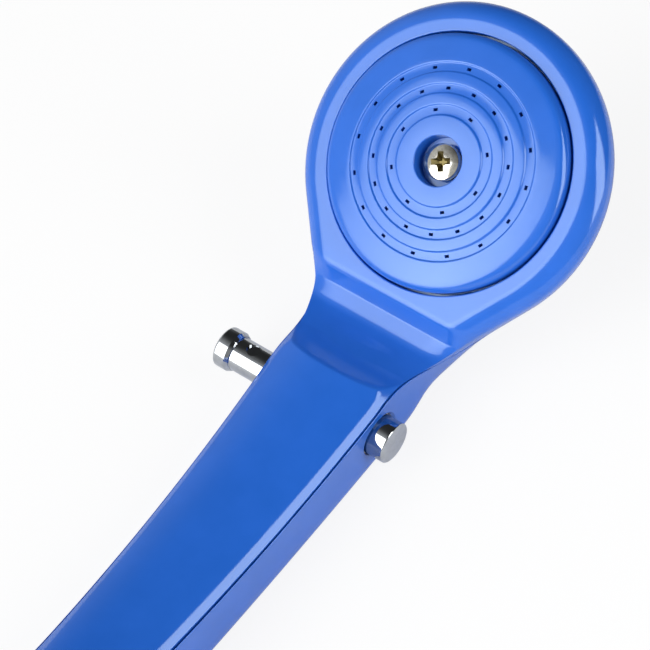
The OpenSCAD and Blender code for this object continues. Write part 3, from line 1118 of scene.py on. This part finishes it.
    def back(self) -> Mesh:
        """Makes the back shell: seam, flank and domed back.

        Returns:
            The mesh of the shell.
        """
        form = self.form
        stations = form.stations(self.bore_r + self.bore_edge)
        wall_at = self.face_steps + self.lip_steps

        def place(i: int, j: int) -> Point:
            """Places one grid point.

            Args:
                i: Column, counted from the seam down to the back.
                j: Row, which is the number of its station.

            Returns:
                The point in the working frame.
            """
            station = stations[j]
            y = station.y
            if i <= wall_at:
                return self.seam_point(station, i, False)
            depth = form.waist_z(y) - form.back_z(y)
            n = form.power(y)
            top = form.seam_drop(y) + form.slot_outer(y)
            start = math.atan2(top / depth, (1 - (top / depth) ** n) ** (1 / n))
            angle = mix(start, math.pi / 2, (i - wall_at) / self.back_steps)
            across, down = max(0.0, math.cos(angle)), math.sin(angle)
            reach = (across ** n + down ** n) ** (-1 / n)
            return station.spot(form.half_width(y) * reach * across,
                                form.waist_z(y) - depth * reach * down)

        bm = self.shell(wall_at + self.back_steps, len(stations) - 1, place)
        bmesh.ops.recalc_face_normals(bm, faces=bm.faces)
        return bm

    def cut_end(self, bm: Mesh) -> None:
        """Cuts a shell at the flat end of the handle and rounds the edge.

        Args:
            bm: Shell that runs on past the end.
        """
        form = self.form
        out = form.to_hose()
        along = (out.to_3x3() @ Vector((0, 0, 1))).normalized()
        plane = out @ Vector((0, 0, form.handle_l - self.end_round))
        cut = bmesh.ops.bisect_plane(
            bm, geom=bm.verts[:] + bm.edges[:] + bm.faces[:], dist=1e-5, plane_co=plane,
            plane_no=along, clear_outer=True)
        edges = [g for g in cut["geom_cut"] if isinstance(g, bmesh.types.BMEdge)]
        verts = {v for e in edges for v in e.verts}
        middle = sum((v.co for v in verts), Vector()) / len(verts)
        done_out, done_in = 0.0, 0.0
        for a in (22.5, 45, 67.5, 90):
            angle = math.radians(a)
            out_by = self.end_round * math.sin(angle)
            in_by = self.end_round * (1 - math.cos(angle))
            edges, verts = grow_edges(bm, edges)
            for vert in verts:
                spoke = vert.co - middle
                spoke -= along * spoke.dot(along)
                vert.co += along * (out_by - done_out)
                vert.co -= spoke.normalized() * (in_by - done_in)
            done_out, done_in = out_by, in_by
        bmesh.ops.edgeloop_fill(bm, edges=edges)

    def pocket_cutter(self) -> Thing:
        """Makes the tool for the pin's round pockets and chamfers.

        Returns:
            The closed tool.
        """
        form = self.form
        flank, edge = form.half_width(form.valve_y), self.pocket_edge
        wide = self.pocket_r + edge + self.pocket_beyond
        out = flank + self.pocket_beyond
        half = [(0.0, self.pocket_end), (wide, self.pocket_end), (wide, out),
                (self.pocket_r, flank - edge)]
        profile = [(r, -z) for r, z in half] + half[::-1]
        return bake(turned(profile, self.pocket_steps, form.along_pin()), "Pocket_tool")


@dataclass
class SprayHead:
    """The domed spray plate and the screw that holds it."""

    plate_r: float = 28.22
    plate_top: float = 5.27
    dome_r: float = 129.0
    plate_t: float = 2.2
    band_depth: float = 0.3
    band_wall: float = 0.3
    bands: tuple[tuple[float, float], ...] = ((9.8, 12.4), (14.6, 17.0), (19.3, 21.7))
    jet_rings: tuple[tuple[float, int, float], ...] = (
        (11.15, 8, 121.67), (15.8, 16, 110.42), (20.5, 16, 121.67))
    jet_w: float = 1.0
    jet_l: float = 0.65
    recess_r: float = 5.55
    recess_floor: float = 0.4
    edge_r: float = 2.05
    dome_rows: tuple[float, ...] = (22.8, 23.8, 24.8, 25.8)
    skirt_r: float = 26.2
    skirt_bottom: float = -2.9
    boss_r: float = 7.7
    boss_bottom: float = -1.6
    shank_r: float = 1.95
    screw_r: float = 4.0
    screw_seat: float = 1.3
    screw_rim: float = 1.7
    screw_crown: float = 0.75
    crown_rows: tuple[float, ...] = (0.95, 0.88, 0.8, 0.7, 0.6, 0.5, 0.4, 0.3, 0.2, 0.1, 0.0)
    cross_reach: float = 2.85
    cross_half: float = 0.84
    cross_web: float = 1.6
    cross_corner: float = 0.64
    cross_depth: float = 1.7
    cross_above: float = 0.4
    cross_turn: float = 26.7
    cross_taper: float = 0.3
    jet_tool_l: float = 12.0
    jet_tool_z: float = 4.0
    under_r: float = 13.0
    shank_end: float = -8.0
    plate_steps: int = 256
    screw_steps: int = 128

    def dome_z(self, r: float) -> float:
        """Returns the height of the plate's dome at a radius."""
        return self.plate_top - r * r / (2 * self.dome_r)

    def build(self, shop: Workshop) -> None:
        """Builds and dresses the plate and its screw.

        Args:
            shop: Workshop that dresses the pieces.
        """
        plate = bake(self.plate(), "Spray_plate")
        carve(plate, self.jet_cutter())
        shop.finish(plate, Body.SPRAYER, Slot.BLUE_ABS, "spray_plate", sharp=40.0)
        screw = self.screw(shop.finishes[Slot.NICKEL])
        shop.finish(screw, Body.SPRAYER, Slot.NICKEL, "plate_screw", sharp=34.0)

    def plate(self) -> Mesh:
        """Turns the plate with its sunk ring bands and sunk centre.

        Returns:
            The mesh of the plate, still without jets.
        """
        corners: list[Corner] = [
            (0.0, self.recess_floor, 0.0), (self.recess_r, self.recess_floor, 0.15),
            (self.recess_r, self.dome_z(self.recess_r), 0.25)]
        for inner, outer in self.bands:
            wall, deep = self.band_wall, self.band_depth
            corners += [(inner, self.dome_z(inner), 0.4),
                        (inner + wall, self.dome_z(inner + wall) - deep, 0.3),
                        (outer - wall, self.dome_z(outer - wall) - deep, 0.3),
                        (outer, self.dome_z(outer), 0.4)]
        corners += [(r, self.dome_z(r), 0.0) for r in self.dome_rows]
        corners += [(self.plate_r, self.dome_z(self.plate_r), self.edge_r),
                    (self.plate_r, self.skirt_bottom, 0.3),
                    (self.skirt_r, self.skirt_bottom, 0.3)]
        corners += [(r, self.dome_z(r) - self.plate_t, 0.0)
                    for r in (self.skirt_r, self.under_r, self.boss_r)]
        corners += [(self.boss_r, self.boss_bottom, 0.0), (0.0, self.boss_bottom, 0.0)]
        return turned(rounded(corners, 5), self.plate_steps)

    def jet_cutter(self) -> Thing:
        """Makes the tool for the rings of small rectangular jets.

        Returns:
            One object with a block for each jet.
        """
        bm = bmesh.new()
        for radius, count, start in self.jet_rings:
            for k in range(count):
                turn = Matrix.Rotation(math.radians(start + k * 360 / count), 4, "Z")
                made = bmesh.ops.create_cube(bm, size=1.0)["verts"]
                bmesh.ops.scale(bm, vec=(self.jet_l, self.jet_w, self.jet_tool_l),
                                verts=made)
                out = Matrix.Translation((radius, 0, self.jet_tool_z))
                bmesh.ops.transform(bm, matrix=turn @ out, verts=made)
        return bake(bm, "Jet_tool")

    def screw(self, nickel: Material) -> Thing:
        """Makes the pan-head screw with its cross recess.

        Args:
            nickel: Material of the screw outside its recess.

        Returns:
            The screw with both materials.
        """
        base, rim = self.screw_seat, self.screw_seat + self.screw_rim
        corners: list[Corner] = [
            (0.0, self.shank_end, 0.0), (self.shank_r, self.shank_end, 0.2),
            (self.shank_r, base, 0.0), (self.screw_r, base, 0.15),
            (self.screw_r, rim, 0.12)]
        corners += [(self.screw_r * share, rim + self.screw_crown * (1 - share * share), 0.0)
                    for share in self.crown_rows]
        screw = bake(turned(rounded(corners, 4), self.screw_steps), "Plate_screw")
        screw.data.materials.append(nickel)
        carve(screw, self.cross_cutter())
        return screw

    def cross_cutter(self) -> Thing:
        """Makes the tapered cross tool, whose faces leave an olive nickel darkened as
        painted shade in the recess.

        Returns:
            The closed tool with its material.
        """
        half, reach, web = self.cross_half, self.cross_reach, self.cross_web
        inner = web * self.cross_corner
        quarter = [(reach, -half), (reach, half), (web, half), (inner, inner), (half, web)]
        top = self.screw_seat + self.screw_rim + self.screw_crown + self.cross_above
        bm = bmesh.new()
        verts = []
        for k in range(4):
            turn = Matrix.Rotation(math.radians(90 * k + self.cross_turn), 3, "Z")
            verts += [bm.verts.new(turn @ Vector((x, y, top))) for x, y in quarter]
        grown = bmesh.ops.extrude_face_region(bm, geom=[bm.faces.new(verts)])["geom"]
        floor = [g for g in grown if isinstance(g, bmesh.types.BMVert)]
        bmesh.ops.scale(bm, vec=(self.cross_taper, self.cross_taper, 1), verts=floor)
        bmesh.ops.translate(bm, vec=(0, 0, -self.cross_depth - self.cross_above),
                            verts=floor)
        bmesh.ops.recalc_face_normals(bm, faces=bm.faces)
        tool = bake(bm, "Cross_tool")
        # The recess faces get a darker, rougher olive nickel: painted shade where the cross
        # recess lies in shadow.
        tool.data.materials.append(PolishedMetal(
            "Olive_nickel_darkened_as_painted_recess_shade", "#8C8056", "#4E4629", (0.42, 0.6), 0.1, 0.008,
            0.4).make())
        return tool


@dataclass
class ValvePin:
    """The chromed push-pull pin and the button on its right end."""

    form: SprayerForm
    pin_r: float = 4.0
    knob_r: float = 4.8
    knob_t: float = 4.4
    button_t: float = 5.2
    barrel_half: float = 13.2
    travel: float = 11.2
    chamfer: float = 0.9
    waist_r: float = 2.5
    hole_r: float = 1.7
    hole_floor: float = 3.45
    hole_turn: float = -48.4
    hole_at: float = 4.1
    hole_tool_l: float = 3.0
    hole_steps: int = 96
    knob_in: float = 1.0
    knob_rise: float = 0.62
    shoulder_in: float = 0.5
    waist_at: tuple[float, float, float, float] = (-10.0, -9.0, -2.6, -1.6)
    steps: int = 128

    def build(self, shop: Workshop) -> None:
        """Builds and dresses the pin and its button.

        Args:
            shop: Workshop that dresses the pieces.
        """
        pin = bake(self.pin(), "Valve_pin")
        carve(pin, self.hole_cutter())
        shop.finish(pin, Body.VALVE, Slot.CHROME, "valve_pin")
        button = bake(self.button(), "Valve_button")
        shop.finish(button, Body.VALVE, Slot.CHROME, "valve_button")

    def pin(self) -> Mesh:
        """Turns the pin: rounded head, chamfer, stem and sealing waist.

        Returns:
            The mesh of the pin, still without its recess.
        """
        shoulder = -self.barrel_half - self.travel
        end = shoulder - self.knob_t
        stem_end, waist, waist_end, stem = self.waist_at
        corners: list[Corner] = [
            (0.0, end, 0.0), (self.knob_r - self.knob_in, end, 1.2),
            (self.knob_r, end + self.knob_rise, 0.5),
            (self.knob_r, shoulder - self.chamfer, 0.12),
            (self.knob_r - self.shoulder_in, shoulder, 0.1), (self.pin_r, shoulder, 0.12),
            (self.pin_r, stem_end, 0.1), (self.waist_r, waist, 0.2),
            (self.waist_r, waist_end, 0.2), (self.pin_r, stem, 0.1),
            (self.pin_r, self.barrel_half, 0.3), (0.0, self.barrel_half, 0.0)]
        return turned(rounded(corners, 6), self.steps, self.form.along_pin())

    def hole_cutter(self) -> Thing:
        """Makes the tool for the shallow round recess in the stem.

        Returns:
            The closed tool.
        """
        at = Vector((self.hole_at - self.barrel_half - self.travel, self.form.valve_y,
                     self.form.valve_z))
        turn = Matrix.Rotation(math.radians(self.hole_turn), 4, "X")
        middle = Matrix.Translation((0, 0, self.hole_floor + self.hole_tool_l / 2))
        bm = bmesh.new()
        bmesh.ops.create_cone(bm, cap_ends=True, segments=self.hole_steps,
                              radius1=self.hole_r, radius2=self.hole_r,
                              depth=self.hole_tool_l,
                              matrix=Matrix.Translation(at) @ turn @ middle)
        return bake(bm, "Hole_tool")

    def button(self) -> Mesh:
        """Turns the button with its flat face.

        Returns:
            The mesh of the button.
        """
        low, high = self.barrel_half, self.barrel_half + self.button_t
        corners: list[Corner] = [
            (0.0, low, 0.0), (self.knob_r, low, 0.25), (self.knob_r, high, 0.38),
            (0.0, high, 0.0)]
        return turned(rounded(corners, 8), self.steps, self.form.along_pin())


@dataclass
class HoseInlet:
    """The chromed nipple with its G1/2 male thread."""

    form: SprayerForm
    stub_r: float = 8.4
    flange_r: float = 12.0
    flange_t: float = 3.0
    thread_r: float = 10.478
    root_r: float = 9.32
    thread_l: float = 12.0
    thread_gap: float = 1.6
    thread_end: float = 0.5
    thread_sunk: float = 0.25
    pitch: float = 1.814
    ridge: tuple[float, float, float] = (0.42, 0.56, 0.98)
    run_out_sunk: float = 0.2
    run_out_slope: float = 1.2
    run_out_lead: float = 0.4
    stub_l: float = 3.0
    bore_l: float = 2.0
    mouth_r: float = 7.5
    bore_r: float = 3.6
    seat_depth: float = 1.0
    steps: int = 96

    def build(self, shop: Workshop) -> None:
        """Builds and dresses the nipple."""
        nipple = bake(self.nipple(), "Hose_nipple")
        shop.finish(nipple, Body.SPRAYER, Slot.CHROME, "inlet_nipple")

    def nipple(self) -> Mesh:
        """Makes the nipple: stub, flange, threaded spigot and stepped bore.

        Returns:
            The mesh of the nipple.
        """
        end = self.form.handle_l
        flange = end + self.flange_t
        mouth = flange + self.thread_l
        corners: list[Corner] = [
            (0.0, end - self.stub_l, 0.0), (self.stub_r, end - self.stub_l, 0.0),
            (self.stub_r, end, 0.0),
            (self.flange_r, end, 0.2), (self.flange_r, flange, 0.4),
            (self.root_r, flange, 0.2), (self.root_r, mouth, 0.25),
            (self.mouth_r, mouth, 0.25), (self.mouth_r, flange - self.seat_depth, 0.15),
            (self.bore_r, flange - self.seat_depth, 0.2),
            (self.bore_r, end - self.bore_l, 0.0), (0.0, end - self.bore_l, 0.0)]
        bm = turned(rounded(corners, 4), self.steps)
        self.add_thread(bm, flange + self.thread_gap, mouth - self.thread_end)
        bmesh.ops.transform(bm, matrix=self.form.to_hose(), verts=bm.verts)
        return bm

    def add_thread(self, bm: Mesh, low: float, high: float) -> None:
        """Winds the thread's ridge round the spigot.

        Args:
            bm: Mesh of the nipple, with its axis along Z.
            low: Height where the thread starts.
            high: Height where it ends.
        """
        root, crest = self.root_r - self.thread_sunk, self.thread_r
        turns = (high - low) / self.pitch - 1
        section = list(zip((root, crest, crest, root), (0.0, *self.ridge)))
        start = bm.faces.new([bm.verts.new((r, 0, low + self.pitch * z))
                              for r, z in section])
        bmesh.ops.spin(bm, geom=[start], cent=(0, 0, 0), axis=(0, 0, 1),
                       dvec=(0, 0, self.pitch / self.steps), angle=math.tau * turns,
                       steps=round(turns * self.steps))
        for vert in bm.verts:
            reach, z = vert.co.xy.length, vert.co.z
            if not root - HAIR <= reach <= crest + HAIR or z < low - HAIR:
                continue
            left = min(high - z, z - low + self.run_out_lead)
            run_out = self.root_r - self.run_out_sunk + self.run_out_slope * left
            if reach > max(run_out, root):
                vert.co.xy *= max(run_out, root) / reach
        bmesh.ops.recalc_face_normals(bm, faces=bm.faces)


INNER_PIECES: dict[Slot, tuple[str, ...]] = {
    Slot.ACETAL: ("valve_body", "left_gland", "right_gland", "lower_tube", "upper_tube",
                  "head_elbow"),
    Slot.RUBBER: ("plate_seal", "screw_seal", "left_pin_seal", "right_pin_seal",
                  "lower_tube_seals", "upper_tube_seals", "elbow_seal"),
    Slot.BRASS: ("screw_insert",),
}


def dress_inner_pieces(nodes: dict[str, Thing], finishes: dict[Slot, Material]) -> None:
    """Gives each sealed piece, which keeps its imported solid, its material.

    Args:
        nodes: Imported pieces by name.
        finishes: Materials by slot.
    """
    for slot, names in INNER_PIECES.items():
        for name in names:
            mesh = nodes[name].data
            mesh.materials.clear()
            mesh.materials.append(finishes[slot])
            LOG.info("%s: %s", name, finishes[slot].name)


# ------------------------------------------------------------------------- studio


def towards(bearing: float, elevation: float) -> Vector:
    """Finds the direction of a bearing and an elevation.

    Args:
        bearing: Angle round the object in degrees.
        elevation: Angle above the floor in degrees.

    Returns:
        The direction as a unit vector.
    """
    turn, lift = math.radians(bearing), math.radians(elevation)
    return Vector((math.cos(lift) * math.cos(turn), math.cos(lift) * math.sin(turn),
                   math.sin(lift)))


@dataclass(frozen=True)
class Panel:
    """One soft light panel, given by the bearing and height that it shines from."""

    name: str
    bearing: float
    elevation: float
    distance: float
    width: float
    height: float
    power: float
    roll: float = 0.0
    hot: tuple[float, float] = (0.5, 0.5)
    falloff: tuple[float, float] = (0.0, 0.0)


@dataclass
class Studio:
    """Floor, soft lights, surroundings and camera."""

    target: Point = (0.0, 0.012, 0.03)
    floor_size: float = 6.0
    floor_seen: float = 0.86
    floor_mirrored: float = 0.06
    room: float = 0.42
    wall_glow: float = 0.25
    wall_bearing: float = -140.0
    wall_height: float = 35.0
    flag_bearing: float = 70.0
    flag_height: float = 45.0
    panels: tuple[Panel, ...] = (
        Panel("Front_left_panel", -112.0, 31.5, 1.2, 1.02, 1.48, 31.0, 12.0, (0.62, 0.42),
              (1.1, 0.95)),
        Panel("Right_strip_panel", 15.0, 28.0, 1.0, 0.46, 0.98, 7.2, -5.0),
    )
    lens: float = 130.85
    camera_spot: Point = (0.202146, -0.165088, 0.452518)
    camera_axes: tuple[Point, Point, Point] = (
        (0.795798, 0.592322, -0.125936), (-0.448640, 0.716369, 0.534356),
        (0.406728, -0.368740, 0.835825))

    def build(self) -> None:
        """Builds the whole studio."""
        self.floor()
        self.surroundings()
        for panel in self.panels:
            self.light(panel)
        self.camera()

    def floor(self) -> None:
        """Lays the pale floor, which shows white and keeps the object's shadow."""
        bm = bmesh.new()
        bmesh.ops.create_grid(bm, x_segments=2, y_segments=2, size=self.floor_size / 2)
        floor = bake(bm, "Floor")
        skin = Skin("Pale_studio_floor")
        tree, shader = skin.tree, skin.shader
        shader.inputs["Base Color"].default_value = linear("#F4F4F4")
        shader.inputs["Roughness"].default_value = 0.9
        shader.inputs["Specular IOR Level"].default_value = 0.1
        path = add_node(tree, "LightPath").outputs
        seen = add_node(tree, "Math", {"operation": "MAXIMUM"},
                        {0: path["Is Camera Ray"], 1: path["Is Transmission Ray"]})
        level = add_node(tree, "Math", {"operation": "MULTIPLY", 1: self.floor_seen},
                         {0: seen.outputs[0]})
        mirrored = add_node(tree, "Math", {"operation": "MULTIPLY", 1: self.floor_mirrored},
                            {0: path["Is Glossy Ray"]})
        share = add_node(tree, "Math", {"operation": "MAXIMUM"},
                         {0: level.outputs[0], 1: mirrored.outputs[0]})
        glow = add_node(tree, "Emission", {"Strength": 1.0})
        both = add_node(tree, "MixShader", links={0: share.outputs[0],
                                                  1: shader.outputs["BSDF"],
                                                  2: glow.outputs["Emission"]})
        tree.links.new(both.outputs["Shader"], skin.output.inputs["Surface"])
        floor.data.materials.append(skin.material)

    def lobe(self, tree: Tree, bearing: float, elevation: float, wide: float,
             narrow: float) -> Socket:
        """Adds a soft round patch of the room round one direction.

        Args:
            tree: Node tree of the world.
            bearing: Bearing of the patch's middle in degrees.
            elevation: Elevation of the patch's middle in degrees.
            wide: Angle from the middle at which the patch ends.
            narrow: Angle from the middle within which it is full.

        Returns:
            The output that is 1 in the patch and 0 outside it.
        """
        look = add_node(tree, "TexCoord").outputs["Generated"]
        near = add_node(tree, "VectorMath", {"operation": "DOT_PRODUCT",
                                             1: towards(bearing, elevation)}, {0: look})
        fade = add_node(tree, "MapRange",
                        {"interpolation_type": "SMOOTHSTEP",
                         "From Min": math.cos(math.radians(wide)),
                         "From Max": math.cos(math.radians(narrow))},
                        {"Value": near.outputs["Value"]})
        return fade.outputs["Result"]

    def surroundings(self) -> None:
        """Sets the light of the room: a paler wall on the left, a dark corner behind."""
        world = bpy.data.worlds.new("Studio_room")
        bpy.context.scene.world = world
        world.use_nodes = True
        tree = world.node_tree
        tree.nodes.clear()
        wall = self.lobe(tree, self.wall_bearing, self.wall_height, 70, 35)
        flag = self.lobe(tree, self.flag_bearing, self.flag_height, 78, 42)
        level = add_node(tree, "MapRange",
                         {"To Min": self.room, "To Max": self.room + self.wall_glow},
                         {"Value": wall})
        shade = add_node(tree, "MapRange", {"To Min": 1.0, "To Max": 0.1}, {"Value": flag})
        strength = add_node(tree, "Math", {"operation": "MULTIPLY"},
                            {0: level.outputs["Result"], 1: shade.outputs["Result"]})
        room = add_node(tree, "Background", {"Color": linear("#F1F3F6")},
                        {"Strength": strength.outputs["Value"]})
        white = add_node(tree, "Background", {"Color": linear("#FFFFFF"), "Strength": 1.0})
        seen = add_node(tree, "LightPath").outputs["Is Camera Ray"]
        both = add_node(tree, "MixShader", links={0: seen, 1: room.outputs["Background"],
                                                  2: white.outputs["Background"]})
        add_node(tree, "OutputWorld", links={"Surface": both.outputs["Shader"]})

    def light(self, panel: Panel) -> None:
        """Hangs one soft panel so that it faces the object.

        Args:
            panel: Panel to hang.
        """
        lamp = bpy.data.lights.new(panel.name, "AREA")
        lamp.shape = "RECTANGLE"
        lamp.size = panel.width
        lamp.size_y = panel.height
        lamp.energy = panel.power
        if any(panel.falloff):
            self.fade(lamp, panel)
        thing = bpy.data.objects.new(panel.name, lamp)
        bpy.context.scene.collection.objects.link(thing)
        away = towards(panel.bearing, panel.elevation)
        turn = away.to_track_quat("Z", "Y").to_matrix().to_4x4()
        roll = Matrix.Rotation(math.radians(panel.roll), 4, "Z")
        spot = Vector(self.target) + away * panel.distance
        thing.matrix_world = Matrix.Translation(spot) @ turn @ roll

    def fade(self, lamp: bpy.types.Light, panel: Panel) -> None:
        """Lets a panel's light fall off from its hot spot, as a softbox's does.

        Args:
            lamp: Lamp of the panel.
            panel: Panel with its hot spot and falloff, in shares of its width and height.
        """
        lamp.use_nodes = True
        tree = lamp.node_tree
        tree.nodes.clear()
        spot = add_node(tree, "NewGeometry").outputs["Parametric"]
        run = add_node(tree, "VectorMath", {"operation": "SUBTRACT", 1: (*panel.hot, 0.0)},
                       {0: spot})
        scaled = add_node(tree, "VectorMath", {"operation": "MULTIPLY",
                                               1: (*panel.falloff, 0.0)},
                          {0: run.outputs["Vector"]})
        far = add_node(tree, "VectorMath", {"operation": "LENGTH"},
                       {0: scaled.outputs["Vector"]})
        level = add_node(tree, "MapRange", {"From Max": 0.7, "To Min": 1.0, "To Max": 0.3},
                         {"Value": far.outputs["Value"]})
        glow = add_node(tree, "Emission", links={"Strength": level.outputs["Result"]})
        add_node(tree, "OutputLight", links={"Surface": glow.outputs["Emission"]})

    def camera(self) -> None:
        """Sets the camera that the sprayer is judged from."""
        lens = bpy.data.cameras.new("Camera")
        lens.sensor_width = 36.0
        lens.sensor_fit = "HORIZONTAL"
        lens.lens = self.lens
        lens.clip_end = 20.0
        thing = bpy.data.objects.new("Camera", lens)
        bpy.context.scene.collection.objects.link(thing)
        turn = Matrix(self.camera_axes).transposed().to_4x4()
        thing.matrix_world = Matrix.Translation(self.camera_spot) @ turn
        bpy.context.scene.camera = thing


# ------------------------------------------------------------------------- scene


def main() -> None:
    """Builds the dressed sprayer and its studio."""
    logging.basicConfig(level=logging.INFO, format="%(name)s: %(message)s")
    for start in list(bpy.data.objects):
        bpy.data.objects.remove(start)
    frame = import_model()
    bpy.context.scene.view_settings.view_transform = "Standard"
    shop = Workshop()
    form = SprayerForm()
    Housings(form).build(shop)
    SprayHead().build(shop)
    ValvePin(form).build(shop)
    HoseInlet(form).build(shop)
    dress_inner_pieces(frame["nodes"], shop.finishes)
    Studio().build()


if __name__ == "__main__":
    main()
